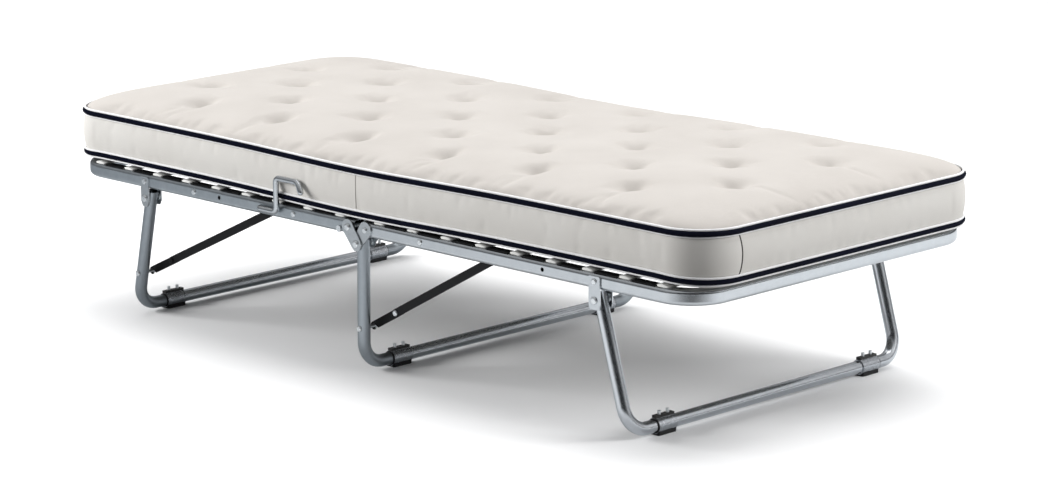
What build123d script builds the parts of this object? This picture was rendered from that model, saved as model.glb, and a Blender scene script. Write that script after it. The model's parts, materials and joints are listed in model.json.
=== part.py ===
from build123d import *
import math
import os

# Folding cot: two hinged tube frames with slats, three folding U-legs, hook-on stays and a
# tufted mattress. +X runs along the bed to its foot end, +Z is up, the origin is on the floor
# below the middle. All sizes are millimetres.

# Bed frame
FRAME_LENGTH = 1900.0
FRAME_WIDTH = 850.0
RAIL_WIDTH = 32.0
RAIL_HEIGHT = 32.0
RAIL_EDGE_RADIUS = 9.0
RAIL_WALL = 1.6
RAIL_CORNER_RADIUS = 76.0
RAIL_MID_Z = 313.5

# Fold hinge in the middle of the bed
FOLD_X = -23.0
FOOT_RIVET_X = 27.0
RAIL_END_OVERHANG = 14.0
MID_PIVOT_X = 2.0
MID_PIVOT_DROP = 32.5
PLATE_THICKNESS = 3.0
FOLD_EYE_RADIUS = 17.0
FOOT_EYE_RADIUS = 18.0
LEG_EYE_RADIUS = 15.0
FOOT_PLATE_TIP_RADIUS = 12.0
STOP_STUD_X = -53.0
STOP_STUD_DROP = 8.0
STOP_STUD_RADIUS = 7.0
STOP_STUD_HEIGHT = 5.0

# Pins, rivets and washers
PIN_RADIUS = 5.0
PIN_CLEARANCE = 0.05
PIN_HEAD_RADIUS = 8.0
PIN_HEAD_HEIGHT = 4.0
RIVET_RADIUS = 4.0
RIVET_HEAD_RADIUS = 6.5
RIVET_HEAD_HEIGHT = 3.0
HEAD_DOME = 0.8
WASHER_RADIUS = 10.0
WASHER_CLEARANCE = 0.15
DRILL_MARGIN = 9.0

# U-legs
LEG_RADIUS = 13.5
LEG_WALL = 1.6
LEG_BEND_RADIUS = 50.0
FLOOR_JOINT_Y = 310.0
SWAGE_LENGTH = 30.0
SWAGE_CLEARANCE = 0.1
SWAGE_NECK = 10.0
END_LEG_PIVOT_Z = 275.5
HEAD_LEG_PIVOT_X = -694.0
FOOT_LEG_PIVOT_X = 687.0
HEAD_LEG_SPLAY = 12.5
MID_LEG_SPLAY = 1.0
FOOT_LEG_SPLAY = 16.0
END_LEG_TOP = 15.0
MID_LEG_TOP = 8.0

# Leg brackets on the rails
BRACKET_TOP_Z = 324.0
BRACKET_BOTTOM_Z = 257.0
BRACKET_TAPER = 11.0
HEAD_BRACKET_WIDTH = 26.0
HEAD_BRACKET_TIP = 14.0
FOOT_BRACKET_WIDTH = 30.0
FOOT_BRACKET_TIP = 26.0
BRACKET_CORNER_RADIUS = 3.0

# Floor clamps and pads
CLAMP_WALL = 2.5
CLAMP_LENGTH = 52.0
CLAMP_CLEARANCE = 0.05
CLAMP_LUG_WIDTH = 12.0
CLAMP_LUG_HEIGHT = 5.0
CLAMP_BOLT_RADIUS = 3.5
CLAMP_BOLT_HEIGHT = 8.0
CLAMP_BOLT_PITCH = 24.0
PAD_FLOOR = 2.5
PAD_WIDTH = 26.0
PAD_SIDE = 9.0
PAD_CORNER_RADIUS = 4.0

# Stays between leg and rail
STAY_WIDTH = 17.5
STAY_THICKNESS = 4.0
STAY_STRAP_THICKNESS = 3.0
STAY_PLANE_GAP = 7.0
STAY_STRAP_LENGTH = 82.0
STAY_OVERLAP = 16.0
STAY_HEAD_GAP = 0.2
LEG_STUD_HEIGHT_Z = 98.0
LEG_STUD_CLEARANCE = 0.4
HEAD_STAY_X = -276.0
MID_STAY_X = 393.0
HEAD_STAY_NOTCH_ANGLE = 57.8
MID_STAY_NOTCH_ANGLE = 54.3

# Slats
SLAT_WIDTH = 36.0
SLAT_THICKNESS = 10.0
SLAT_END_INSET = 5.0
SLAT_END_RADIUS = 8.0
SLAT_FIRST_X = 60.0
SLAT_PITCH = 100.0
SLAT_COUNT = 9

# Rail details
GUARD_HOLE_RADIUS = 4.5
HEAD_GUARD_HOLE_X = -442.0
FOOT_GUARD_HOLE_X = 542.0
HEAD_RAIL_RIVETS_X = (-527.0, -200.0)
FOOT_RAIL_RIVETS_X = (190.0,)

# Rod hooks on the head rail
HOOK_X = -302.0
HOOK_ROD_RADIUS = 5.0
HOOK_STANDOFF = 5.0
HOOK_REACH = 60.0
HOOK_RISE = 74.0
HOOK_TOP = 54.0
HOOK_TIP_X = 16.0
HOOK_TIP_OUT = 14.0
HOOK_TIP_DROP = 20.0
HOOK_BEND_RADIUS = 10.0
HOOK_TIP_BEND_RADIUS = 14.0
HOOK_COLLAR_RADIUS = 8.0
HOOK_COLLAR_HEIGHT = 3.0

# Mattress
MATTRESS_END_OVERHANG = 16.0
MATTRESS_SIDE_INSET = 6.0
MATTRESS_CORNER_RADIUS = 95.0
MATTRESS_SEAT_GAP = 0.3
MATTRESS_EDGE_HEIGHT = 100.0
MATTRESS_EDGE_ROUND = 7.0
MATTRESS_SIDE_DRAW = 3.0
MATTRESS_CROWN = 40.0
MATTRESS_CROWN_REACH = 280.0
MATTRESS_CROWN_TURNS = (16.0, 32.0, 50.0, 68.0, 90.0)
FOLD_ZONE_HEAD = 182.0
FOLD_ZONE_FOOT = 220.0
FOLD_ZONE_GAP = 0.4
TUFT_PITCH_X = 131.5
TUFT_PITCH_Y = 143.0
TUFT_DEPTH = 14.0
TUFT_RADIUS = 50.0
TUFT_ROWS = 2
TUFT_COLUMNS = 6

# Places worked out from the sizes above
RAIL_Y = FRAME_WIDTH / 2 - RAIL_WIDTH / 2
RAIL_OUT = FRAME_WIDTH / 2
RAIL_IN = RAIL_OUT - RAIL_WIDTH
RAIL_END_X = FRAME_LENGTH / 2 - RAIL_WIDTH / 2
RAIL_TOP_Z = RAIL_MID_Z + RAIL_HEIGHT / 2
MID_PIVOT_Z = RAIL_MID_Z - MID_PIVOT_DROP
MATTRESS_LENGTH = FRAME_LENGTH + 2 * MATTRESS_END_OVERHANG
MATTRESS_WIDTH = FRAME_WIDTH - 2 * MATTRESS_SIDE_INSET
CLAMP_RADIUS = LEG_RADIUS + CLAMP_CLEARANCE + CLAMP_WALL
FLOOR_TUBE_Z = CLAMP_RADIUS + PAD_FLOOR
STAY_OUT = RAIL_IN - STAY_PLANE_GAP
STAY_IN = STAY_OUT - STAY_THICKNESS
STRAP_IN = STAY_IN - STAY_STRAP_THICKNESS
DRILL_FROM = RAIL_IN - DRILL_MARGIN
DRILL_TO = RAIL_OUT + DRILL_MARGIN
SIDES = (-1, 1)


def across(radius, x, z, y_from, y_to, side):
    """Round bar along Y on one side of the bed, between two distances from the bed's middle."""
    start = Plane((x, side * y_from, z), z_dir=(0, math.copysign(1, side * (y_to - y_from)), 0))
    return extrude(start * Circle(radius), abs(y_to - y_from))


def domed_head(radius, height, x, z, y_seat, side, direction=1):
    """Low domed rivet or pin head standing on a face at y_seat."""
    outward = side * direction
    seat = Plane((x, side * y_seat, z), z_dir=(0, outward, 0))
    head = extrude(seat * Circle(radius), height)
    rims = head.edges().filter_by(GeomType.CIRCLE).sort_by(Axis.Y)
    outer_rim = rims[-1] if outward > 0 else rims[0]
    return fillet(outer_rim, height * HEAD_DOME)


def plate(face_xz, y_near, y_far, side):
    """Flat plate in the XZ plane, between two distances from the bed's middle."""
    low = min(side * y_near, side * y_far)
    return Pos(0, low, 0) * extrude(face_xz, abs(y_far - y_near), dir=(0, 1, 0))


def in_xz(*shapes):
    """Move sketches drawn in X and Z onto the XZ plane, keeping X and Z positive."""
    plane = Plane((0, 0, 0), x_dir=(1, 0, 0), z_dir=(0, -1, 0))
    return [plane * shape for shape in shapes]


def eye_link(ends):
    """Outline hulled round two circles given as (x, z, radius)."""
    circles = Sketch() + [Pos(x, z) * Circle(radius) for x, z, radius in ends]
    return in_xz(make_hull(circles.edges()))[0]


def ring(outer, inner, x, z, y_near, y_far, side):
    """Washer or spacer sleeve along Y."""
    return across(outer, x, z, y_near, y_far, side) - across(inner, x, z, y_near, y_far, side)


def both_sides(maker):
    """The same piece made for the near and the far side, as separate solids."""
    return Compound(children=[maker(side) for side in SIDES])


def save(name, shape):
    export_step(shape, os.path.join("parts", name + ".step"))


# Rails


def rail_blank(end_x, direction):
    """Hollow rounded square tube bent into a U, with its open ends at the fold hinge."""
    turn_x = direction * RAIL_END_X
    path = FilletPolyline(
        (end_x, -RAIL_Y, RAIL_MID_Z),
        (turn_x, -RAIL_Y, RAIL_MID_Z),
        (turn_x, RAIL_Y, RAIL_MID_Z),
        (end_x, RAIL_Y, RAIL_MID_Z),
        radius=RAIL_CORNER_RADIUS,
    )
    start = Plane(path @ 0, x_dir=(0, 1, 0), z_dir=(direction, 0, 0))
    outside = RectangleRounded(RAIL_WIDTH, RAIL_HEIGHT, RAIL_EDGE_RADIUS)
    inside = RectangleRounded(
        RAIL_WIDTH - 2 * RAIL_WALL,
        RAIL_HEIGHT - 2 * RAIL_WALL,
        RAIL_EDGE_RADIUS - RAIL_WALL,
    )
    return sweep(start * (outside - inside), path)


def drill_rail(rail, holes):
    """Cut cross holes, given as (x, z, radius), through both walls of both side rails."""
    for side in SIDES:
        for x, z, radius in holes:
            rail -= across(radius, x, z, DRILL_FROM, DRILL_TO, side)
    return rail


def head_rail():
    rail = rail_blank(FOLD_X + RAIL_END_OVERHANG, -1)
    rail = drill_rail(rail, [(FOLD_X, RAIL_MID_Z, PIN_RADIUS + PIN_CLEARANCE)])
    rail = drill_rail(rail, [(HEAD_LEG_PIVOT_X, RAIL_MID_Z, RIVET_RADIUS)])
    rail = drill_rail(rail, [(x, RAIL_MID_Z, RIVET_RADIUS) for x in HEAD_RAIL_RIVETS_X])
    rail = drill_rail(rail, [(HEAD_GUARD_HOLE_X, RAIL_MID_Z, GUARD_HOLE_RADIUS)])
    rail = drill_rail(rail, [(HOOK_X, RAIL_MID_Z, HOOK_ROD_RADIUS + PIN_CLEARANCE)])
    return rail


def foot_rail():
    rail = rail_blank(FOOT_RIVET_X - RAIL_END_OVERHANG, 1)
    rail = drill_rail(rail, [(FOOT_RIVET_X, RAIL_MID_Z, RIVET_RADIUS)])
    rail = drill_rail(rail, [(FOOT_LEG_PIVOT_X, RAIL_MID_Z, RIVET_RADIUS)])
    rail = drill_rail(rail, [(x, RAIL_MID_Z, RIVET_RADIUS) for x in FOOT_RAIL_RIVETS_X])
    rail = drill_rail(rail, [(FOOT_GUARD_HOLE_X, RAIL_MID_Z, GUARD_HOLE_RADIUS)])
    return rail


def rail_rivet(x, side):
    """Tubular rivet right through a rail, with a domed head outside and a flat end inside."""
    shank = across(RIVET_RADIUS, x, RAIL_MID_Z, RAIL_IN, RAIL_OUT, side)
    head = domed_head(RIVET_HEAD_RADIUS, RIVET_HEAD_HEIGHT, x, RAIL_MID_Z, RAIL_OUT, side)
    return shank + head


def rail_rivets(places):
    return Compound(children=[rail_rivet(x, side) for side in SIDES for x in places])


# Fold hinge


def fold_plates(side):
    """Boomerang plates from the fold pin to the leg pin, outside and inside the rail."""
    outline = eye_link(
        [(FOLD_X, RAIL_MID_Z, FOLD_EYE_RADIUS), (MID_PIVOT_X, MID_PIVOT_Z, LEG_EYE_RADIUS)]
    )
    outer_seat = RAIL_OUT + PLATE_THICKNESS
    inner_seat = RAIL_IN - PLATE_THICKNESS
    outer = plate(outline, outer_seat, outer_seat + PLATE_THICKNESS, side)
    inner = plate(outline, inner_seat, inner_seat - PLATE_THICKNESS, side)
    both = outer + inner
    for x, z in ((FOLD_X, RAIL_MID_Z), (MID_PIVOT_X, MID_PIVOT_Z)):
        both -= across(PIN_RADIUS, x, z, DRILL_FROM, DRILL_TO, side)
    return both


def foot_plates(side):
    """Plates riveted to the foot rail, tapering down to the leg pin."""
    outline = eye_link(
        [
            (FOOT_RIVET_X, RAIL_MID_Z, FOOT_EYE_RADIUS),
            (MID_PIVOT_X, MID_PIVOT_Z, FOOT_PLATE_TIP_RADIUS),
        ]
    )
    outer = plate(outline, RAIL_OUT, RAIL_OUT + PLATE_THICKNESS, side)
    inner = plate(outline, RAIL_IN, RAIL_IN - PLATE_THICKNESS, side)
    both = outer + inner
    both -= across(RIVET_RADIUS, FOOT_RIVET_X, RAIL_MID_Z, DRILL_FROM, DRILL_TO, side)
    both -= across(PIN_RADIUS, MID_PIVOT_X, MID_PIVOT_Z, DRILL_FROM, DRILL_TO, side)
    return both


def fold_pin(x, z, side):
    """Pin through both pairs of hinge plates, flush inside, with a domed head outside."""
    outer_face = RAIL_OUT + 2 * PLATE_THICKNESS
    inner_face = RAIL_IN - 2 * PLATE_THICKNESS
    shank = across(PIN_RADIUS, x, z, inner_face, outer_face, side)
    return shank + domed_head(PIN_HEAD_RADIUS, PIN_HEAD_HEIGHT, x, z, outer_face, side)


def foot_plate_rivet(side):
    inner_face = RAIL_IN - PLATE_THICKNESS
    outer_face = RAIL_OUT + PLATE_THICKNESS
    shank = across(RIVET_RADIUS, FOOT_RIVET_X, RAIL_MID_Z, inner_face, outer_face, side)
    head = domed_head(
        RIVET_HEAD_RADIUS, RIVET_HEAD_HEIGHT, FOOT_RIVET_X, RAIL_MID_Z, outer_face, side
    )
    return shank + head


def fold_washers():
    """Washers that fill the plate's step between the fold plates and the head rail."""
    washers = []
    for side in SIDES:
        for face, outward in ((RAIL_OUT, 1), (RAIL_IN, -1)):
            start = face + outward * WASHER_CLEARANCE
            end = face + outward * PLATE_THICKNESS
            washers.append(ring(WASHER_RADIUS, PIN_RADIUS, FOLD_X, RAIL_MID_Z, start, end, side))
    return Compound(children=washers)


def stop_stud(side):
    """Round stop stud on the head rail beside the fold plate."""
    z = RAIL_MID_Z - STOP_STUD_DROP
    return across(STOP_STUD_RADIUS, STOP_STUD_X, z, RAIL_OUT, RAIL_OUT + STOP_STUD_HEIGHT, side)


# Leg brackets


def leg_bracket(pivot_x, width, tip, side):
    """Pair of tapered plates outside and inside the rail that carry a leg's pivot pin."""
    taper_z = BRACKET_BOTTOM_Z + BRACKET_TAPER
    outline = Polygon(
        (-width / 2, BRACKET_TOP_Z),
        (-width / 2, taper_z),
        (-tip / 2, BRACKET_BOTTOM_Z),
        (tip / 2, BRACKET_BOTTOM_Z),
        (width / 2, taper_z),
        (width / 2, BRACKET_TOP_Z),
        align=None,
    )
    outline = fillet(outline.vertices(), BRACKET_CORNER_RADIUS)
    face = in_xz(Pos(pivot_x, 0) * outline)[0]
    outer = plate(face, RAIL_OUT, RAIL_OUT + PLATE_THICKNESS, side)
    inner = plate(face, RAIL_IN, RAIL_IN - PLATE_THICKNESS, side)
    both = outer + inner
    both -= across(RIVET_RADIUS, pivot_x, RAIL_MID_Z, DRILL_FROM, DRILL_TO, side)
    both -= across(PIN_RADIUS, pivot_x, END_LEG_PIVOT_Z, DRILL_FROM, DRILL_TO, side)
    return both


def bracket_rivet(pivot_x, side):
    inner_face = RAIL_IN - PLATE_THICKNESS
    outer_face = RAIL_OUT + PLATE_THICKNESS
    shank = across(RIVET_RADIUS, pivot_x, RAIL_MID_Z, inner_face, outer_face, side)
    head = domed_head(
        RIVET_HEAD_RADIUS, RIVET_HEAD_HEIGHT, pivot_x, RAIL_MID_Z, outer_face, side
    )
    return shank + head


def leg_pin(pivot_x, side):
    inner_face = RAIL_IN - PLATE_THICKNESS
    outer_face = RAIL_OUT + PLATE_THICKNESS
    shank = across(PIN_RADIUS, pivot_x, END_LEG_PIVOT_Z, inner_face, outer_face, side)
    head = domed_head(
        PIN_HEAD_RADIUS, PIN_HEAD_HEIGHT, pivot_x, END_LEG_PIVOT_Z, outer_face, side
    )
    return shank + head


def leg_washers(pivot_x, pivot_z):
    """Washers between the bracket plates and the leg tube, four to a leg."""
    washers = []
    for side in SIDES:
        for face, tube in ((RAIL_OUT, RAIL_Y + LEG_RADIUS), (RAIL_IN, RAIL_Y - LEG_RADIUS)):
            gap = math.copysign(WASHER_CLEARANCE, face - tube)
            washers.append(
                ring(WASHER_RADIUS, PIN_RADIUS, pivot_x, pivot_z, tube + gap, face, side)
            )
    return Compound(children=washers)


# Legs, built upright below their pivot and then leaned about it


class Leg:
    """Places of one U-leg: its pivot, its lean along X and its length to the floor tube."""

    def __init__(self, pivot_x, pivot_z, lean, top):
        self.pivot_x = pivot_x
        self.pivot_z = pivot_z
        self.lean = lean
        self.top = top
        self.length = (pivot_z - FLOOR_TUBE_Z) / math.cos(math.radians(lean))
        self.foot_x = pivot_x + (pivot_z - FLOOR_TUBE_Z) * math.tan(math.radians(lean))
        self.stud_x = pivot_x + (pivot_z - LEG_STUD_HEIGHT_Z) * math.tan(math.radians(lean))

    def place(self, shape):
        """Lean a shape built about the pivot and carry it to the pivot."""
        return Pos(self.pivot_x, 0, self.pivot_z) * Rot(0, -self.lean, 0) * shape


HEAD_LEG = Leg(HEAD_LEG_PIVOT_X, END_LEG_PIVOT_Z, -HEAD_LEG_SPLAY, END_LEG_TOP)
MID_LEG = Leg(MID_PIVOT_X, MID_PIVOT_Z, -MID_LEG_SPLAY, MID_LEG_TOP)
FOOT_LEG = Leg(FOOT_LEG_PIVOT_X, END_LEG_PIVOT_Z, FOOT_LEG_SPLAY, END_LEG_TOP)


def leg_tube(leg, side, has_stud):
    """Bent tube from the pivot down to the floor joint on one side."""
    path = FilletPolyline(
        (0, side * RAIL_Y, leg.top),
        (0, side * RAIL_Y, -leg.length),
        (0, side * FLOOR_JOINT_Y, -leg.length),
        radius=LEG_BEND_RADIUS,
    )
    section = Circle(LEG_RADIUS) - Circle(LEG_RADIUS - LEG_WALL)
    tube = leg.place(sweep(Plane(path @ 0, z_dir=(0, 0, -1)) * section, path))
    bore = PIN_RADIUS + PIN_CLEARANCE
    tube -= across(bore, leg.pivot_x, leg.pivot_z, RAIL_IN, RAIL_OUT, side)
    if has_stud:
        tube -= across(RIVET_RADIUS, leg.stud_x, LEG_STUD_HEIGHT_Z, RAIL_IN, RAIL_OUT, side)
    return tube


def floor_tube(leg):
    """Straight floor tube with swaged ends that plug into the two bent tubes."""
    outer = LEG_RADIUS
    swage = LEG_RADIUS - LEG_WALL - SWAGE_CLEARANCE
    tip = FLOOR_JOINT_Y + SWAGE_LENGTH
    body = across(outer, leg.foot_x, FLOOR_TUBE_Z, -FLOOR_JOINT_Y, FLOOR_JOINT_Y, 1)
    body += across(swage, leg.foot_x, FLOOR_TUBE_Z, -tip, tip, 1)
    body -= across(swage - LEG_WALL, leg.foot_x, FLOOR_TUBE_Z, -tip, tip, 1)
    neck = FLOOR_JOINT_Y - SWAGE_NECK
    body -= across(outer - LEG_WALL, leg.foot_x, FLOOR_TUBE_Z, -neck, neck, 1)
    return body


def floor_clamp(leg, side):
    """Split band over the floor joint with a bolting lug on top."""
    half = CLAMP_LENGTH / 2
    start = FLOOR_JOINT_Y - half
    end = FLOOR_JOINT_Y + half
    band = across(CLAMP_RADIUS, leg.foot_x, FLOOR_TUBE_Z, start, end, side)
    lug_top = FLOOR_TUBE_Z + CLAMP_RADIUS + CLAMP_LUG_HEIGHT
    lug = Pos(leg.foot_x, side * FLOOR_JOINT_Y, FLOOR_TUBE_Z) * Box(
        CLAMP_LUG_WIDTH,
        CLAMP_LENGTH,
        lug_top - FLOOR_TUBE_Z,
        align=(Align.CENTER, Align.CENTER, Align.MIN),
    )
    bore = across(LEG_RADIUS + CLAMP_CLEARANCE, leg.foot_x, FLOOR_TUBE_Z, start, end, side)
    return band + lug - bore


def clamp_bolts(leg):
    """Two bolt heads on the lug of each clamp."""
    seat_z = FLOOR_TUBE_Z + CLAMP_RADIUS + CLAMP_LUG_HEIGHT
    bolts = []
    for side in SIDES:
        for offset in (-CLAMP_BOLT_PITCH / 2, CLAMP_BOLT_PITCH / 2):
            seat = Pos(leg.foot_x, side * FLOOR_JOINT_Y + offset, seat_z)
            up = (Align.CENTER, Align.CENTER, Align.MIN)
            bolts.append(seat * Cylinder(CLAMP_BOLT_RADIUS, CLAMP_BOLT_HEIGHT, align=up))
    return Compound(children=bolts)


def foot_pad(leg, side):
    """Rubber shoe under a clamp, flat on the floor and cradling the band."""
    pad = Pos(leg.foot_x, side * FLOOR_JOINT_Y, 0) * Box(
        PAD_WIDTH,
        CLAMP_LENGTH,
        PAD_FLOOR + PAD_SIDE,
        align=(Align.CENTER, Align.CENTER, Align.MIN),
    )
    pad = fillet(pad.edges().filter_by(Axis.Z), PAD_CORNER_RADIUS)
    start = FLOOR_JOINT_Y - CLAMP_LENGTH
    end = FLOOR_JOINT_Y + CLAMP_LENGTH
    return pad - across(CLAMP_RADIUS, leg.foot_x, FLOOR_TUBE_Z, start, end, side)


# Hook-on stays


class Stay:
    """Line of one stay, from its rail stud to the stud on the leg it holds."""

    def __init__(self, leg, rail_x, notch_angle):
        self.rail_x = rail_x
        self.dx = leg.stud_x - rail_x
        self.dz = LEG_STUD_HEIGHT_Z - RAIL_MID_Z
        self.length = math.hypot(self.dx, self.dz)
        self.angle = math.degrees(math.atan2(self.dz, self.dx))
        self.notch_angle = notch_angle

    def outline(self, sketch):
        """Turn a sketch drawn along +X from the rail stud onto the stay's line."""
        return in_xz(Pos(self.rail_x, RAIL_MID_Z) * Rot(0, 0, self.angle) * sketch)[0]


HEAD_STAY = Stay(HEAD_LEG, HEAD_STAY_X, HEAD_STAY_NOTCH_ANGLE)
MID_STAY = Stay(MID_LEG, MID_STAY_X, MID_STAY_NOTCH_ANGLE)


def stay_rivet_reach(stay):
    """Distance from the rail stud to the rivet that joins bar and hook strap."""
    return stay.length - STAY_STRAP_LENGTH


def stay_bar(stay, side):
    """Flat bar with rounded ends, from the rail stud to the hook strap."""
    reach = stay_rivet_reach(stay)
    half = STAY_WIDTH / 2
    bar = Pos(reach / 2, 0) * SlotOverall(reach + 2 * half, STAY_WIDTH)
    bar -= Circle(PIN_RADIUS + PIN_CLEARANCE)
    bar -= Pos(reach, 0) * Circle(RIVET_RADIUS)
    return plate(stay.outline(bar), STAY_IN, STAY_OUT, side)


def stay_strap(stay, side):
    """Short strap with an open notch that hooks over the leg stud."""
    reach = stay_rivet_reach(stay)
    half = STAY_WIDTH / 2
    start = reach - STAY_OVERLAP
    span = stay.length - start
    strap = Pos(start + span / 2, 0) * SlotOverall(span + 2 * half, STAY_WIDTH)
    strap -= Pos(reach, 0) * Circle(RIVET_RADIUS)
    notch_radius = RIVET_RADIUS + LEG_STUD_CLEARANCE
    below = math.copysign(1, math.sin(math.radians(stay.angle)) * math.cos(math.radians(stay.angle)))
    slope = 180 - stay.notch_angle if below > 0 else 180 + stay.notch_angle
    throat = Pos(STAY_WIDTH / 2, 0) * Rectangle(STAY_WIDTH, 2 * notch_radius)
    notch = Circle(notch_radius) + throat
    strap -= Pos(stay.length, 0) * Rot(0, 0, slope) * notch
    return plate(stay.outline(strap), STRAP_IN, STAY_IN, side)


def stay_rivet(stay, side):
    reach = stay_rivet_reach(stay)
    x = stay.rail_x + reach * math.cos(math.radians(stay.angle))
    z = RAIL_MID_Z + reach * math.sin(math.radians(stay.angle))
    shank = across(RIVET_RADIUS, x, z, STRAP_IN, STAY_OUT, side)
    return shank + domed_head(RIVET_HEAD_RADIUS, RIVET_HEAD_HEIGHT, x, z, STAY_OUT, side)


def rail_stud(stay, side):
    """Shouldered stud on the rail's inner face that the stay turns on."""
    x = stay.rail_x
    boss = across(PIN_HEAD_RADIUS, x, RAIL_MID_Z, RAIL_IN, STAY_OUT + STAY_HEAD_GAP, side)
    tip = STAY_IN - STAY_HEAD_GAP
    pin = across(PIN_RADIUS, x, RAIL_MID_Z, RAIL_IN, tip, side)
    head = domed_head(PIN_HEAD_RADIUS, PIN_HEAD_HEIGHT, x, RAIL_MID_Z, tip, side, -1)
    return boss + pin + head


def leg_stud(leg, side):
    """Bolt right through the leg tube, with a headed end that the strap hooks over."""
    x = leg.stud_x
    z = LEG_STUD_HEIGHT_Z
    tip = STRAP_IN - STAY_HEAD_GAP
    outer_seat = RAIL_Y + LEG_RADIUS
    shank = across(RIVET_RADIUS, x, z, tip, outer_seat, side)
    head = domed_head(RIVET_HEAD_RADIUS, RIVET_HEAD_HEIGHT, x, z, outer_seat, side)
    keeper = domed_head(RIVET_HEAD_RADIUS, RIVET_HEAD_HEIGHT, x, z, tip, side, -1)
    return shank + head + keeper


# Slats


def slats(direction):
    """Flat slats laid across both rails of one half, with rounded ends."""
    length = FRAME_WIDTH - 2 * SLAT_END_INSET
    pieces = []
    for index in range(SLAT_COUNT):
        x = direction * (SLAT_FIRST_X + index * SLAT_PITCH)
        outline = Pos(x, 0, RAIL_TOP_Z) * RectangleRounded(SLAT_WIDTH, length, SLAT_END_RADIUS)
        pieces.append(extrude(outline, SLAT_THICKNESS))
    return Compound(children=pieces)


# Rod hooks


def hook_route(side):
    """Rod centreline: through the rail, along it, up, along again and out over the tip."""
    y = RAIL_OUT + HOOK_STANDOFF + HOOK_ROD_RADIUS
    top_z = RAIL_MID_Z + HOOK_RISE
    rise_x = HOOK_X + HOOK_REACH
    end_x = rise_x + HOOK_TOP
    return [
        (HOOK_X, side * (RAIL_IN - HOOK_COLLAR_HEIGHT), RAIL_MID_Z),
        (HOOK_X, side * y, RAIL_MID_Z),
        (rise_x, side * y, RAIL_MID_Z),
        (rise_x, side * y, top_z),
        (end_x, side * y, top_z),
        (end_x + HOOK_TIP_X, side * (y + HOOK_TIP_OUT), top_z - HOOK_TIP_DROP),
    ]


def rod_hook(side):
    """Bent rod that turns in the rail and keeps the mattress in place."""
    exit_bend = HOOK_STANDOFF + HOOK_ROD_RADIUS
    bends = [exit_bend, HOOK_BEND_RADIUS, HOOK_BEND_RADIUS, HOOK_TIP_BEND_RADIUS]
    path = FilletPolyline(*hook_route(side), radius=bends)
    return sweep(Plane(path @ 0, z_dir=path % 0) * Circle(HOOK_ROD_RADIUS), path)


def hook_collar(side):
    """Push-on collar that keeps the rod in the rail."""
    start = RAIL_IN - WASHER_CLEARANCE
    tip = RAIL_IN - HOOK_COLLAR_HEIGHT
    return ring(HOOK_COLLAR_RADIUS, HOOK_ROD_RADIUS, HOOK_X, RAIL_MID_Z, start, tip, side)


# Mattress


def mattress_blank():
    """Whole mattress: drawn-in side band, rounded edges and a soft crown."""
    base_z = RAIL_TOP_Z + SLAT_THICKNESS + MATTRESS_SEAT_GAP
    edge_z = base_z + MATTRESS_EDGE_HEIGHT
    steps = [
        (base_z, MATTRESS_EDGE_ROUND),
        (base_z + MATTRESS_EDGE_ROUND, 0),
        (base_z + MATTRESS_EDGE_HEIGHT / 2, MATTRESS_SIDE_DRAW),
        (edge_z, 0),
    ]
    for turn in MATTRESS_CROWN_TURNS:
        angle = math.radians(turn)
        inset = MATTRESS_CROWN_REACH * (1 - math.cos(angle))
        steps.append((edge_z + MATTRESS_CROWN * math.sin(angle), inset))
    sections = []
    for z, inset in steps:
        outline = RectangleRounded(
            MATTRESS_LENGTH - 2 * inset,
            MATTRESS_WIDTH - 2 * inset,
            MATTRESS_CORNER_RADIUS,
        )
        sections.append(Pos(0, 0, z) * outline)
    return loft(sections, ruled=True), edge_z


def crown_height(x, y):
    """Height of the crown above the mattress's upper edge, at a place well inside its outline."""
    inset = min(MATTRESS_LENGTH / 2 - abs(x), MATTRESS_WIDTH / 2 - abs(y), MATTRESS_CROWN_REACH)
    turn = math.acos(1 - inset / MATTRESS_CROWN_REACH)
    return MATTRESS_CROWN * math.sin(turn)


def tuft_places():
    """Sewn tufts in rows along the bed, every other row shifted by half a step."""
    places = []
    for row in range(-TUFT_ROWS, TUFT_ROWS + 1):
        for column in range(-TUFT_COLUMNS, TUFT_COLUMNS + 1):
            if (row + column) % 2 == 1:
                places.append((column * TUFT_PITCH_X, row * TUFT_PITCH_Y))
    return places


def mattress_cut(blank, start_x, end_x, edge_z):
    """One stretch of the mattress, with the tufts that reach into it pulled in."""
    stretch = Pos(start_x, 0, edge_z) * Box(
        end_x - start_x,
        2 * MATTRESS_WIDTH,
        2 * MATTRESS_WIDTH,
        align=(Align.MIN, Align.CENTER, Align.CENTER),
    )
    piece = blank & stretch
    ball = (TUFT_RADIUS**2 + TUFT_DEPTH**2) / (2 * TUFT_DEPTH)
    for x, y in tuft_places():
        if start_x - TUFT_RADIUS < x < end_x + TUFT_RADIUS:
            bottom_z = edge_z + crown_height(x, y) - TUFT_DEPTH
            piece -= Pos(x, y, bottom_z + ball) * Sphere(ball)
    return piece


def mattress_pieces():
    """Tufted mattress cut into a head part, the part that bends in the fold and a foot part."""
    blank, edge_z = mattress_blank()
    head_cut = FOLD_X - FOLD_ZONE_HEAD
    foot_cut = FOLD_X + FOLD_ZONE_FOOT
    head = mattress_cut(blank, -MATTRESS_LENGTH, head_cut, edge_z)
    middle = mattress_cut(blank, head_cut + FOLD_ZONE_GAP, foot_cut - FOLD_ZONE_GAP, edge_z)
    foot = mattress_cut(blank, foot_cut, MATTRESS_LENGTH, edge_z)
    return head, middle, foot


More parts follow.
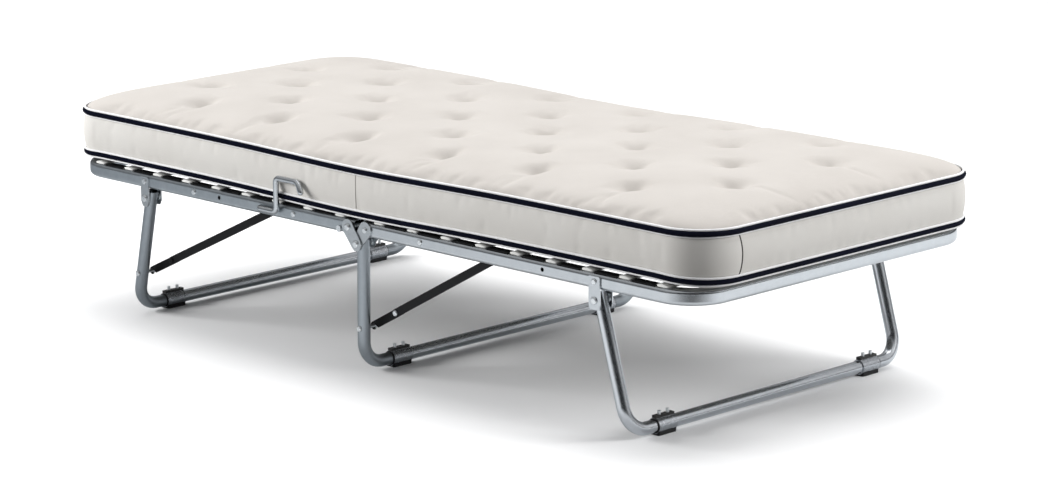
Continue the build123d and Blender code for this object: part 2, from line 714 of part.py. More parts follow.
def build_leg(name, leg, has_stud):
    save(name + "_near_tube", leg_tube(leg, -1, has_stud))
    save(name + "_far_tube", leg_tube(leg, 1, has_stud))
    save(name + "_floor_tube", floor_tube(leg))
    save(name + "_clamps", both_sides(lambda side: floor_clamp(leg, side)))
    save(name + "_clamp_bolts", clamp_bolts(leg))
    save(name + "_foot_pads", both_sides(lambda side: foot_pad(leg, side)))
    save(name + "_pivot_washers", leg_washers(leg.pivot_x, leg.pivot_z))
    if has_stud:
        save(name + "_stay_studs", both_sides(lambda side: leg_stud(leg, side)))


def build_stay(name, stay):
    save(name + "_bars", both_sides(lambda side: stay_bar(stay, side)))
    save(name + "_hook_straps", both_sides(lambda side: stay_strap(stay, side)))
    save(name + "_rivets", both_sides(lambda side: stay_rivet(stay, side)))
    save(name + "_rail_studs", both_sides(lambda side: rail_stud(stay, side)))


def build_bracket(name, pivot_x, width, tip):
    for side, place in zip(SIDES, ("near", "far")):
        save(name + "_bracket_" + place, leg_bracket(pivot_x, width, tip, side))
    save(name + "_bracket_rivets", both_sides(lambda side: bracket_rivet(pivot_x, side)))
    save(name + "_pivot_pins", both_sides(lambda side: leg_pin(pivot_x, side)))


def main():
    os.makedirs("parts", exist_ok=True)
    save("head_rail", head_rail())
    save("foot_rail", foot_rail())
    save("head_rail_rivets", rail_rivets(HEAD_RAIL_RIVETS_X))
    save("foot_rail_rivets", rail_rivets(FOOT_RAIL_RIVETS_X))
    save("head_slats", slats(-1))
    save("foot_slats", slats(1))

    save("fold_plates", both_sides(fold_plates))
    save("foot_plates", both_sides(foot_plates))
    save("fold_pins", both_sides(lambda side: fold_pin(FOLD_X, RAIL_MID_Z, side)))
    save("fold_washers", fold_washers())
    save("foot_plate_rivets", both_sides(foot_plate_rivet))
    save("fold_stop_studs", both_sides(stop_stud))

    build_bracket("head_leg", HEAD_LEG_PIVOT_X, HEAD_BRACKET_WIDTH, HEAD_BRACKET_TIP)
    build_bracket("foot_leg", FOOT_LEG_PIVOT_X, FOOT_BRACKET_WIDTH, FOOT_BRACKET_TIP)
    save("mid_leg_pivot_pins", both_sides(lambda side: fold_pin(MID_PIVOT_X, MID_PIVOT_Z, side)))

    build_leg("head_leg", HEAD_LEG, True)
    build_leg("mid_leg", MID_LEG, True)
    build_leg("foot_leg", FOOT_LEG, False)

    build_stay("head_stay", HEAD_STAY)
    build_stay("mid_stay", MID_STAY)

    for side, place in zip(SIDES, ("near", "far")):
        save("rod_hook_" + place, rod_hook(side))
        save("hook_collar_" + place, hook_collar(side))

    head, middle, foot = mattress_pieces()
    save("mattress_head", head)
    save("mattress_fold", middle)
    save("mattress_foot", foot)


main()
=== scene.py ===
import json
import math

import bpy
import numpy as np
from mathutils import Matrix, Vector
from mathutils.bvhtree import BVHTree


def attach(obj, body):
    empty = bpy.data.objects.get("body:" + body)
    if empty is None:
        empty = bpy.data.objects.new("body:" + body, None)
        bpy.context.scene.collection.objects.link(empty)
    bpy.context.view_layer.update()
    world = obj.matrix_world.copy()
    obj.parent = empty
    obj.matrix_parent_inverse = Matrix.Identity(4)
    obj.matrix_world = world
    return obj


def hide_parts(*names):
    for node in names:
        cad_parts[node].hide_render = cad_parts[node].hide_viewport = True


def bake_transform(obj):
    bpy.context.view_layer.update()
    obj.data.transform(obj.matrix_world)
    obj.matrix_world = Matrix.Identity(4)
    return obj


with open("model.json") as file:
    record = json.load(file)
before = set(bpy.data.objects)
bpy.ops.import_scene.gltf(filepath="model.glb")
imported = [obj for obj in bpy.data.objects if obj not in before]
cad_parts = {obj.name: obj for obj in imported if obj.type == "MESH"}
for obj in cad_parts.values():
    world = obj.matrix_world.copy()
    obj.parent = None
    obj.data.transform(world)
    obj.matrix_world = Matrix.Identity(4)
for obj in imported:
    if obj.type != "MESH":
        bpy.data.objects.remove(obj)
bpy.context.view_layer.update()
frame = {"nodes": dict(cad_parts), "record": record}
nodes = frame["nodes"]
scene = bpy.context.scene

# Mattress sizes in metres, as in the CAD
LENGTH = 1.932
WIDTH = 0.838
CORNER = 0.095
BASE_Z = 0.3398
TUFT_PITCH_X = 0.1315
TUFT_PITCH_Y = 0.143
TUFT_ROWS = 2
TUFT_COLUMNS = 6

# Mattress mesh and its side band
GRID_X = 208
GRID_Y = 90
BAND_ROWS = 9
BAND_BULGE = 0.0075
BAND_ROUNDNESS = 0.8
UPPER_SEAM_Z = 0.4410
LOWER_SEAM_Z = 0.3515
SEAM_SAG = 0.0075
SEAM_SAG_REACH = 0.30
END_SEAM_FROM = 0.84
END_SEAM_DROP = 0.0045
UNDER_INSET = 0.010
LAST_SLAT_EDGE = 0.882
END_DROOP = 0.009
BAND_UV_SHIFT = (3.0, 2.0)
UNDER_UV_SHIFT = 6.0
TOP_LOOK = 0
BAND_LOOK = 1
UNDER_SHADE_LOOK = 2

# Crown and tufts of the mattress top
PRESSED_CROWN = 0.039
SHOULDER_REACH = 0.18
TUFT_DIP = 0.0165
TUFT_REACH = 0.026
TUFT_STEEPNESS = 2.6
TUFT_BOWL = 0.004
TUFT_BOWL_SIGMA = 0.034

# Cloth simulation of the cover
TUFT_PIN = 0.010
SIM_FRAMES = 22
SIM_CAP = 0.0036
BAND_SIM_CAP = 0.0008
LEAST_SHIFT = 1e-9
SUBDIVISIONS = 1

# Piping and welts: radius, sides, and place as out from the band and up from the seam
PIPING_RADIUS = 0.0058
PIPING_SIDES = 12
PIPING_PLACE = (0.003, 0.0)
WELT_RADIUS = 0.0025
FINE_WELT_RADIUS = 0.0015
LIP_RADIUS = 0.0022
WELT_SIDES = 8
TOP_WELT_PLACE = (0.0030, 0.0075)
FINE_WELT_PLACE = (0.0048, -0.0066)
LOW_WELT_PLACE = (0.0048, 0.0070)
LIP_PLACE = (0.0036, -0.0072)

# Threads
STITCH_RADIUS = 0.0008
STITCH_REACH = 0.007
STITCH_STEPS = 4
STITCH_SIDES = 6
STRAND_SIDES = 8


def smooth_step(t):
    """Smooth rise from 0 to 1, level at both ends."""
    return t * t * (3 - 2 * t)


def new_object(name, verts, faces, material, smooth=True):
    mesh = bpy.data.meshes.new(name)
    mesh.from_pydata([tuple(v) for v in verts], [], [tuple(f) for f in faces])
    mesh.update()
    mesh.polygons.foreach_set("use_smooth", [smooth] * len(mesh.polygons))
    obj = bpy.data.objects.new(name, mesh)
    scene.collection.objects.link(obj)
    if material is not None:
        mesh.materials.append(material)
    return obj


def put_uvs(obj, uvs):
    """Give each face corner the UV of its vertex."""
    layer = obj.data.uv_layers.new(name="UVMap")
    corner_verts = np.zeros(len(obj.data.loops), np.int32)
    obj.data.loops.foreach_get("vertex_index", corner_verts)
    layer.data.foreach_set("uv", np.array(uvs, np.float32)[corner_verts].ravel())


# Materials

# The wave texture repeats at this distance when its scale is 1
WAVE_PERIOD = math.pi / 10

# Stretch of the drawn grain, its share in steel's gloss, and the weave's share in cloth's tint
DRAWN_STRETCH = (14.0, 420.0, 420.0)
DRAWN_SHARE = 0.5
WEAVE_SHARE = 0.3

# Sockets of the mix node, whose names are the same for every kind of value
MIX_FACTOR = 0
MIX_FLOAT_A = 2
MIX_FLOAT_B = 3
MIX_FLOAT_OUT = 0
MIX_COLOUR_A = 6
MIX_COLOUR_B = 7
MIX_COLOUR_OUT = 2


class Nodes:
    """Helper that makes the nodes of a material or world and links them by socket name or number."""

    def __init__(self, owner, shader):
        owner.use_nodes = True
        self.owner = owner
        self.tree = owner.node_tree
        self.shader = self.tree.nodes[shader]

    def node(self, kind, **values):
        """New node: each value goes to the input of that name, or else to the node's own setting."""
        made = self.tree.nodes.new(kind)
        for key, value in values.items():
            socket = key.replace("_", " ")
            if socket in made.inputs:
                made.inputs[socket].default_value = value
            else:
                setattr(made, key, value)
        return made

    def link(self, source, socket, target, into):
        self.tree.links.new(source.outputs[socket], target.inputs[into])

    def set(self, **values):
        for key, value in values.items():
            self.shader.inputs[key.replace("_", " ")].default_value = value

    def ramp(self, low, high, start=0.3, end=0.7):
        made = self.node("ShaderNodeValToRGB")
        made.color_ramp.elements[0].position = start
        made.color_ramp.elements[0].color = (*low, 1)
        made.color_ramp.elements[1].position = end
        made.color_ramp.elements[1].color = (*high, 1)
        return made


def new_material(name):
    return Nodes(bpy.data.materials.new(name), "Principled BSDF")


def steel(name, low, high, rough, grain, bump):
    """Plated or zinc steel: drawn grain, cloudy plating and uneven gloss."""
    m = new_material(name)
    m.set(Metallic=1.0)
    place = m.node("ShaderNodeTexCoord")
    clouds = m.node("ShaderNodeTexNoise", Scale=grain, Detail=4.0, Roughness=0.6)
    m.link(place, "Object", clouds, "Vector")
    stretch = m.node("ShaderNodeMapping", Scale=DRAWN_STRETCH)
    m.link(place, "Object", stretch, "Vector")
    drawn = m.node("ShaderNodeTexNoise", Scale=3.0, Detail=3.0, Roughness=0.55)
    m.link(stretch, "Vector", drawn, "Vector")
    tint = m.ramp(low, high, start=0.32, end=0.68)
    m.link(clouds, "Fac", tint, "Fac")
    m.link(tint, "Color", m.shader, "Base Color")
    blend = m.node("ShaderNodeMix", data_type="FLOAT")
    blend.inputs[MIX_FACTOR].default_value = DRAWN_SHARE
    m.link(clouds, "Fac", blend, MIX_FLOAT_A)
    m.link(drawn, "Fac", blend, MIX_FLOAT_B)
    gloss = m.node("ShaderNodeMapRange", From_Min=0.3, From_Max=0.7, To_Min=rough[0], To_Max=rough[1])
    m.link(blend, MIX_FLOAT_OUT, gloss, "Value")
    m.link(gloss, "Result", m.shader, "Roughness")
    relief = m.node("ShaderNodeBump", Strength=bump, Distance=0.0004)
    m.link(drawn, "Fac", relief, "Height")
    m.link(relief, "Normal", m.shader, "Normal")
    return m.owner


# How many times wider than its skin texture the mottling of a coat is
MOTTLE_WIDTH = 18


def coated(name, low, high, rough, grain, bump, coat=0.0, specular=0.5):
    """Paint, lacquer or rubber: fine skin texture, faint mottling and uneven gloss."""
    m = new_material(name)
    m.set(Specular_IOR_Level=specular)
    if coat:
        m.set(Coat_Weight=coat, Coat_Roughness=0.25)
    place = m.node("ShaderNodeTexCoord")
    skin = m.node("ShaderNodeTexNoise", Scale=grain, Detail=3.0)
    m.link(place, "Object", skin, "Vector")
    broad = m.node("ShaderNodeTexNoise", Scale=grain / MOTTLE_WIDTH, Detail=4.0)
    m.link(place, "Object", broad, "Vector")
    tint = m.ramp(low, high)
    m.link(broad, "Fac", tint, "Fac")
    m.link(tint, "Color", m.shader, "Base Color")
    gloss = m.node("ShaderNodeMapRange", To_Min=rough[0], To_Max=rough[1])
    m.link(broad, "Fac", gloss, "Value")
    m.link(gloss, "Result", m.shader, "Roughness")
    relief = m.node("ShaderNodeBump", Strength=bump, Distance=0.0003)
    m.link(skin, "Fac", relief, "Height")
    m.link(relief, "Normal", m.shader, "Normal")
    return m.owner


def cloth(name, low, high, thread_width, weave_bump, crinkle_bump, sheen, specular=0.25):
    """Woven cloth in the mesh's own metre-sized UVs: crossed threads, slubs and soft crinkles."""
    m = new_material(name)
    m.set(Sheen_Weight=sheen, Sheen_Roughness=0.5, Specular_IOR_Level=specular)
    uv = m.node("ShaderNodeUVMap", uv_map="UVMap")
    turns = WAVE_PERIOD / thread_width
    warp = m.node("ShaderNodeTexWave", Scale=turns, Distortion=1.2, Detail=1.5, bands_direction="X")
    weft = m.node("ShaderNodeTexWave", Scale=turns, Distortion=1.2, Detail=1.5, bands_direction="Y")
    crinkle = m.node("ShaderNodeTexNoise", Scale=26.0, Detail=6.0, Roughness=0.62, Distortion=0.6)
    slubs = m.node("ShaderNodeTexNoise", Scale=5.0, Detail=3.0)
    for texture in (warp, weft, crinkle, slubs):
        m.link(uv, "UV", texture, "Vector")
    weave = m.node("ShaderNodeMath", operation="MULTIPLY")
    m.link(warp, "Fac", weave, 0)
    m.link(weft, "Fac", weave, 1)
    mottled = m.node("ShaderNodeMix", data_type="FLOAT")
    mottled.inputs[MIX_FACTOR].default_value = WEAVE_SHARE
    m.link(slubs, "Fac", mottled, MIX_FLOAT_A)
    m.link(weave, "Value", mottled, MIX_FLOAT_B)
    tint = m.ramp(low, high, start=0.25, end=0.62)
    m.link(mottled, MIX_FLOAT_OUT, tint, "Fac")
    m.link(tint, "Color", m.shader, "Base Color")
    gloss = m.node("ShaderNodeMapRange", To_Min=0.72, To_Max=0.95)
    m.link(crinkle, "Fac", gloss, "Value")
    m.link(gloss, "Result", m.shader, "Roughness")
    soft = m.node("ShaderNodeBump", Strength=crinkle_bump, Distance=0.004)
    m.link(crinkle, "Fac", soft, "Height")
    fine = m.node("ShaderNodeBump", Strength=weave_bump, Distance=0.0005)
    m.link(weave, "Value", fine, "Height")
    m.link(soft, "Normal", fine, "Normal")
    m.link(fine, "Normal", m.shader, "Normal")
    return m.owner


# Galvanised steel: the satin zinc's darker tint is its shaded copy, beside a lighter-tinted lit copy
# below
zinc = steel(
    "satin_zinc", low=(0.45, 0.485, 0.51), high=(0.52, 0.555, 0.58),
    rough=(0.28, 0.38), grain=60.0, bump=0.03,
)
leg_zinc = steel(
    "leg_zinc", low=(0.365, 0.398, 0.425), high=(0.395, 0.428, 0.455),
    rough=(0.27, 0.32), grain=60.0, bump=0.008,
)
# Lit copy of the satin zinc: its lighter tint paints the stronger light on the foot rail, the
# foot-leg brackets and the hooks; it is glossier too
zinc_lit_copy = steel(
    "bright_zinc", low=(0.585, 0.61, 0.63), high=(0.635, 0.66, 0.68),
    rough=(0.17, 0.20), grain=60.0, bump=0.006,
)
zinc_plate = steel(
    "zinc_plate", low=(0.52, 0.545, 0.56), high=(0.60, 0.625, 0.64),
    rough=(0.26, 0.36), grain=90.0, bump=0.03,
)
plated = steel(
    "plated_steel", low=(0.68, 0.705, 0.735), high=(0.72, 0.745, 0.775),
    rough=(0.19, 0.22), grain=45.0, bump=0.003,
)
rivet_steel = steel(
    "rivet_steel", low=(0.80, 0.83, 0.84), high=(0.92, 0.94, 0.95),
    rough=(0.24, 0.36), grain=220.0, bump=0.10,
)
black_paint = coated(
    "black_paint", low=(0.002, 0.002, 0.002), high=(0.005, 0.005, 0.006),
    rough=(0.42, 0.58), grain=900.0, bump=0.25, specular=0.3,
)
black_rubber = coated(
    "black_rubber", low=(0.006, 0.006, 0.007), high=(0.014, 0.014, 0.015),
    rough=(0.62, 0.85), grain=1400.0, bump=0.5,
)
lacquer = coated(
    "white_lacquer", low=(0.78, 0.78, 0.76), high=(0.88, 0.88, 0.86),
    rough=(0.28, 0.42), grain=260.0, bump=0.15, coat=0.2,
)
ticking = cloth(
    "ticking_cloth", low=(0.470, 0.441, 0.411), high=(0.528, 0.499, 0.468),
    thread_width=0.0011, weave_bump=0.35, crinkle_bump=0.24, sheen=0.08,
)
band_cloth = cloth(
    "band_cloth", low=(0.66, 0.64, 0.605), high=(0.72, 0.705, 0.675),
    thread_width=0.0009, weave_bump=0.30, crinkle_bump=0.07, sheen=0.08,
)
# Black underside cloth, laid only over the slats: a dark base cloth that also paints the shade in the
# gap between the mattress and the rails
under_shade_cloth = cloth(
    "under_shade_cloth", low=(0.010, 0.010, 0.011), high=(0.020, 0.020, 0.022),
    thread_width=0.0016, weave_bump=0.5, crinkle_bump=0.10, sheen=0.05,
)
navy_cloth = cloth(
    "navy_piping", low=(0.001, 0.0015, 0.006), high=(0.003, 0.004, 0.014),
    thread_width=0.0008, weave_bump=0.55, crinkle_bump=0.05, sheen=0.0, specular=0.12,
)
welt_cloth = cloth(
    "white_welt", low=(0.84, 0.84, 0.85), high=(0.92, 0.92, 0.93),
    thread_width=0.0007, weave_bump=0.45, crinkle_bump=0.05, sheen=0.15,
)
thread = cloth(
    "seam_thread", low=(0.05, 0.045, 0.04), high=(0.10, 0.09, 0.085),
    thread_width=0.0005, weave_bump=0.6, crinkle_bump=0.05, sheen=0.1,
)
pale_thread = cloth(
    "pale_thread", low=(0.42, 0.40, 0.37), high=(0.52, 0.50, 0.47),
    thread_width=0.0005, weave_bump=0.6, crinkle_bump=0.05, sheen=0.1,
)

# Heights between which a clamp's bright band turns to its black lug
LUG_FROM_Z = 0.0336
LUG_TO_Z = 0.0342


def clamp_finish():
    """Plated band that turns to black paint above a height, where the bolting lug stands."""
    m = new_material("clamp_finish")
    place = m.node("ShaderNodeTexCoord")
    split = m.node("ShaderNodeSeparateXYZ")
    m.link(place, "Object", split, "Vector")
    lug = m.node("ShaderNodeMapRange", From_Min=LUG_FROM_Z, From_Max=LUG_TO_Z)
    m.link(split, "Z", lug, "Value")
    worn = m.node("ShaderNodeTexNoise", Scale=160.0, Detail=4.0)
    m.link(place, "Object", worn, "Vector")
    bare = m.ramp((0.53, 0.55, 0.58), (0.60, 0.62, 0.65))
    m.link(worn, "Fac", bare, "Fac")
    painted = m.ramp((0.004, 0.004, 0.004), (0.016, 0.014, 0.012))
    m.link(worn, "Fac", painted, "Fac")
    tint = m.node("ShaderNodeMix", data_type="RGBA")
    m.link(lug, "Result", tint, MIX_FACTOR)
    m.link(bare, "Color", tint, MIX_COLOUR_A)
    m.link(painted, "Color", tint, MIX_COLOUR_B)
    m.link(tint, MIX_COLOUR_OUT, m.shader, "Base Color")
    metal = m.node("ShaderNodeMapRange", To_Min=1.0, To_Max=0.0)
    m.link(lug, "Result", metal, "Value")
    m.link(metal, "Result", m.shader, "Metallic")
    gloss = m.node("ShaderNodeMapRange", To_Min=0.20, To_Max=0.32)
    m.link(worn, "Fac", gloss, "Value")
    m.link(gloss, "Result", m.shader, "Roughness")
    return m.owner


clamp_steel = clamp_finish()

SLOT_LOOKS = {
    "zinc_steel": zinc,
    "bright_steel": plated,
    "black_steel": black_paint,
    "black_rubber": black_rubber,
    "white_slat": lacquer,
}
# Nodes that take the lit copy of the zinc, whose lighter tint is painted light
LIT_ZINC_NODES = ("foot_rail", "foot_leg_bracket_near", "foot_leg_bracket_far")
PLATE_NODES = ("fold_plates", "foot_plates", "head_leg_bracket_near", "head_leg_bracket_far")
LEG_NODES = ("head_leg_near_tube", "head_leg_far_tube", "mid_leg_near_tube", "mid_leg_far_tube")
BLACK_RIVET_NODE = "head_stay_rivets"
RIVET_ENDINGS = ("rivets", "pins", "studs", "washers", "clamp_bolts")


def solid_look(name, slot):
    """Material of a CAD solid, or None for the mattress solids, which a piece below replaces."""
    if slot not in SLOT_LOOKS:
        return None
    if name in LIT_ZINC_NODES:
        return zinc_lit_copy
    if name in PLATE_NODES:
        return zinc_plate
    if name in LEG_NODES:
        return leg_zinc
    if name == BLACK_RIVET_NODE:
        return black_paint
    if name.endswith(RIVET_ENDINGS):
        return rivet_steel
    if name.endswith("_clamps"):
        return clamp_steel
    return SLOT_LOOKS[slot]


for row in frame["record"]["subparts"]:
    look = solid_look(row["node"], row["material_slot"])
    if look is not None:
        solid_mesh = nodes[row["node"]].data
        solid_mesh.materials.clear()
        solid_mesh.materials.append(look)


# Mattress


def seam_height(x, level):
    """Height of a seam along the bed: it sags at the fold, and the lower one sinks at the ends."""
    sag = SEAM_SAG * np.exp(-((x / SEAM_SAG_REACH) ** 2))
    past = np.clip((np.abs(x) - END_SEAM_FROM) / (LENGTH / 2 - END_SEAM_FROM), 0, 1)
    sink = END_SEAM_DROP * smooth_step(past) if level == LOWER_SEAM_Z else 0.0
    return level - sag - sink


def rounded(x, y, length, width, corner):
    """Carry a rectangle's grid points into the outline with rounded corners."""
    side = length / 2 - corner
    end = width / 2 - corner
    u = np.clip((np.abs(x) - side) / corner, 0, 1)
    v = np.clip((np.abs(y) - end) / corner, 0, 1)
    new_x = np.minimum(np.abs(x), side) + corner * u * np.sqrt(1 - v * v / 2)
    new_y = np.minimum(np.abs(y), end) + corner * v * np.sqrt(1 - u * u / 2)
    return np.sign(x) * new_x, np.sign(y) * new_y


def crown_share(inset):
    """Share of the crown's height at an inset from the edge, along a quarter ellipse."""
    part = np.clip(inset / SHOULDER_REACH, 0, 1)
    return np.sqrt(1 - (1 - part) ** 2)


def tuft_places():
    """Plan places of the tufts, on every other crossing of the rows and columns."""
    places = []
    for row in range(-TUFT_ROWS, TUFT_ROWS + 1):
        for column in range(-TUFT_COLUMNS, TUFT_COLUMNS + 1):
            if (row + column) % 2 == 1:
                places.append((column * TUFT_PITCH_X, row * TUFT_PITCH_Y))
    return np.array(places)


def grid_index(i, j):
    """Number of a grid point in a list that runs along Y first."""
    return i * (GRID_Y + 1) + j


def grid_cells():
    """Corner numbers of every grid cell, counter-clockwise seen from above."""
    cells = []
    for i in range(GRID_X):
        for j in range(GRID_Y):
            near = (grid_index(i, j), grid_index(i + 1, j))
            far = (grid_index(i + 1, j + 1), grid_index(i, j + 1))
            cells.append(near + far)
    return cells


def border_indices():
    """Grid indices round the edge, counter-clockwise seen from above."""
    near = [(i, 0) for i in range(GRID_X)]
    right = [(GRID_X, j) for j in range(GRID_Y)]
    far = [(i, GRID_Y) for i in range(GRID_X, 0, -1)]
    left = [(0, j) for j in range(GRID_Y, 0, -1)]
    return near + right + far + left


def loop_normals(points):
    """Outward plan normals of a counter-clockwise loop."""
    tangent = np.roll(points, -1, 0) - np.roll(points, 1, 0)
    normal = np.stack([tangent[:, 1], -tangent[:, 0]], 1)
    return normal / np.linalg.norm(normal, axis=1)[:, None]


def distance_along(points):
    """Distance of each point from the first, along the line."""
    return np.concatenate([[0], np.cumsum(np.linalg.norm(np.diff(points, axis=0), axis=1))])


grid_x, grid_y = np.meshgrid(
    np.linspace(-LENGTH / 2, LENGTH / 2, GRID_X + 1),
    np.linspace(-WIDTH / 2, WIDTH / 2, GRID_Y + 1),
    indexing="ij",
)
top_x, top_y = rounded(grid_x, grid_y, LENGTH, WIDTH, CORNER)
tufts = tuft_places()
border = border_indices()
outline = np.array([(top_x[i, j], top_y[i, j]) for i, j in border])
outward = loop_normals(outline)


def top_height():
    """Crowned top with a steep dip and a wide shallow bowl at every tuft."""
    share = crown_share(LENGTH / 2 - np.abs(grid_x)) * crown_share(WIDTH / 2 - np.abs(grid_y))
    z = seam_height(top_x, UPPER_SEAM_Z) + PRESSED_CROWN * share
    dip = np.zeros_like(z)
    for x, y in tufts:
        far = np.hypot(top_x - x, top_y - y)
        dip += TUFT_DIP * np.exp(-((far / TUFT_REACH) ** TUFT_STEEPNESS))
        dip += TUFT_BOWL * np.exp(-(far**2) / (2 * TUFT_BOWL_SIGMA**2))
    return z - dip


def under_height(x):
    """Underside: flat on the slats, and sunk onto the end rails past the last slat."""
    reach = LENGTH / 2 - UNDER_INSET - LAST_SLAT_EDGE
    past = min(max((abs(x) - LAST_SLAT_EDGE) / reach, 0.0), 1.0)
    return BASE_Z - END_DROOP * smooth_step(past)


def build_mattress():
    """Closed mesh: top grid, side band rows and bottom grid, with metre-sized UVs."""
    verts = list(np.stack([top_x, top_y, top_height()], 2).reshape(-1, 3))
    uvs = list(zip(top_x.ravel(), top_y.ravel()))
    top_count = len(verts)
    cells = grid_cells()
    faces = list(cells)
    looks = [TOP_LOOK] * len(cells)
    upper = seam_height(outline[:, 0], UPPER_SEAM_Z)
    lower = seam_height(outline[:, 0], LOWER_SEAM_Z)
    arc = distance_along(outline)
    edge = [grid_index(i, j) for i, j in border]
    previous = edge
    count = len(border)
    for row in range(1, BAND_ROWS + 1):
        t = row / BAND_ROWS
        out = BAND_BULGE * math.sin(math.pi * t) ** BAND_ROUNDNESS if row < BAND_ROWS else 0.0
        place = outline + outward * out
        z = upper * (1 - t) + lower * t
        start = len(verts)
        verts += [(p[0], p[1], h) for p, h in zip(place, z)]
        uvs += [(a + BAND_UV_SHIFT[0], h + BAND_UV_SHIFT[1]) for a, h in zip(arc, z)]
        current = list(range(start, start + count))
        for k in range(count):
            n = (k + 1) % count
            faces.append((previous[k], current[k], current[n], previous[n]))
            looks.append(BAND_LOOK)
        previous = current
    under_length = LENGTH - 2 * UNDER_INSET
    under_width = WIDTH - 2 * UNDER_INSET
    under_x, under_y = rounded(
        grid_x * under_length / LENGTH,
        grid_y * under_width / WIDTH,
        under_length,
        under_width,
        CORNER - UNDER_INSET,
    )
    start = len(verts)
    verts += [(x, y, under_height(x)) for x, y in zip(under_x.ravel(), under_y.ravel())]
    uvs += [(x + UNDER_UV_SHIFT, y) for x, y in zip(under_x.ravel(), under_y.ravel())]
    for k in range(count):
        n = (k + 1) % count
        faces.append((previous[k], start + edge[k], start + edge[n], previous[n]))
        looks.append(BAND_LOOK)
    faces += [(start + a, start + d, start + c, start + b) for a, b, c, d in cells]
    # Underside faces over the slats take the black cloth, painted shade for the gap above the rails;
    # past the last slat they take the pale band cloth
    slat_shade_mask = np.abs(grid_x[:-1, :-1]).ravel() < LAST_SLAT_EDGE
    looks += [UNDER_SHADE_LOOK if shaded else BAND_LOOK for shaded in slat_shade_mask]
    obj = new_object("mattress", verts, faces, None)
    for look in (ticking, band_cloth, under_shade_cloth):
        obj.data.materials.append(look)
    obj.data.polygons.foreach_set("material_index", looks)
    put_uvs(obj, uvs)
    return obj, top_count, start


def vertex_places(mesh):
    places = np.zeros(len(mesh.vertices) * 3)
    mesh.vertices.foreach_get("co", places)
    return places.reshape(-1, 3)


def pinned_vertices(verts, top_count, bottom_start):
    """The bottom, both seams and the middle of every tuft stay where they are sewn."""
    pins = list(range(bottom_start, len(verts)))
    pins += [grid_index(i, j) for i, j in border]
    count = len(border)
    last_row = top_count + (BAND_ROWS - 1) * count
    pins += list(range(last_row, last_row + count))
    plan = verts[:top_count, :2]
    for x, y in tufts:
        far = np.hypot(plan[:, 0] - x, plan[:, 1] - y)
        pins += [int(k) for k in np.flatnonzero(far < TUFT_PIN)]
    return sorted(set(pins))


def simulate(obj, top_count, bottom_start):
    """Blow the cover up as cloth between its seams and tufts, and keep a capped share of that."""
    rest = vertex_places(obj.data)
    group = obj.vertex_groups.new(name="sewn")
    group.add(pinned_vertices(rest, top_count, bottom_start), 1.0, "REPLACE")
    modifier = obj.modifiers.new("cloth", "CLOTH")
    settings = modifier.settings
    settings.quality = 5
    settings.mass = 0.25
    settings.tension_stiffness = 12
    settings.compression_stiffness = 12
    settings.shear_stiffness = 4
    settings.bending_stiffness = 0.6
    settings.vertex_group_mass = "sewn"
    settings.shrink_min = -0.035
    settings.use_pressure = True
    settings.uniform_pressure_force = 3.0
    settings.effector_weights.gravity = 0
    modifier.collision_settings.use_collision = False
    modifier.collision_settings.use_self_collision = False
    modifier.point_cache.frame_start = 1
    modifier.point_cache.frame_end = SIM_FRAMES
    for number in range(1, SIM_FRAMES + 1):
        scene.frame_set(number)
    graph = bpy.context.evaluated_depsgraph_get()
    moved = vertex_places(obj.evaluated_get(graph).to_mesh())
    obj.evaluated_get(graph).to_mesh_clear()
    obj.modifiers.remove(modifier)
    obj.vertex_groups.remove(group)
    scene.frame_set(1)
    shift = moved - rest
    far = np.linalg.norm(shift, axis=1)
    cap = np.where(np.arange(len(rest)) < top_count, SIM_CAP, BAND_SIM_CAP)
    keep = cap * np.tanh(far / cap) / np.maximum(far, LEAST_SHIFT)
    final = rest + shift * keep[:, None]
    obj.data.vertices.foreach_set("co", final.ravel())
    obj.data.update()


def subdivide(obj):
    """Apply a subdivision surface to a piece's mesh."""
    modifier = obj.modifiers.new("smooth", "SUBSURF")
    modifier.levels = SUBDIVISIONS
    modifier.render_levels = SUBDIVISIONS
    graph = bpy.context.evaluated_depsgraph_get()
    mesh = bpy.data.meshes.new_from_object(obj.evaluated_get(graph))
    obj.modifiers.remove(modifier)
    old = obj.data
    obj.data = mesh
    bpy.data.meshes.remove(old)
    mesh.name = obj.name


def seam_loop(level, place):
    """Points along a seam, moved out from the band and up."""
    out, up = place
    z = seam_height(outline[:, 0], level) + up
    plan = outline + outward * out
    return np.stack([plan[:, 0], plan[:, 1], z], 1)


def tubes(name, material, loops, sides):
    """Closed tubes round the mattress, each given as (seam points, radius)."""
    verts, faces, uvs = [], [], []
    for points, radius in loops:
        start = len(verts)
        count = len(points)
        length = distance_along(points)
        for k in range(count):
            for s in range(sides):
                turn = 2 * math.pi * s / sides
                side = radius * math.cos(turn)
                up = radius * math.sin(turn)
                p = points[k]
                n = outward[k]
                verts.append((p[0] + n[0] * side, p[1] + n[1] * side, p[2] + up))
                uvs.append((length[k], radius * turn))
        for k in range(count):
            here = start + k * sides
            there = start + ((k + 1) % count) * sides
            for s in range(sides):
                q = (s + 1) % sides
                faces.append((here + s, there + s, there + q, here + q))
    obj = new_object(name, verts, faces, material)
    put_uvs(obj, uvs)
    return obj


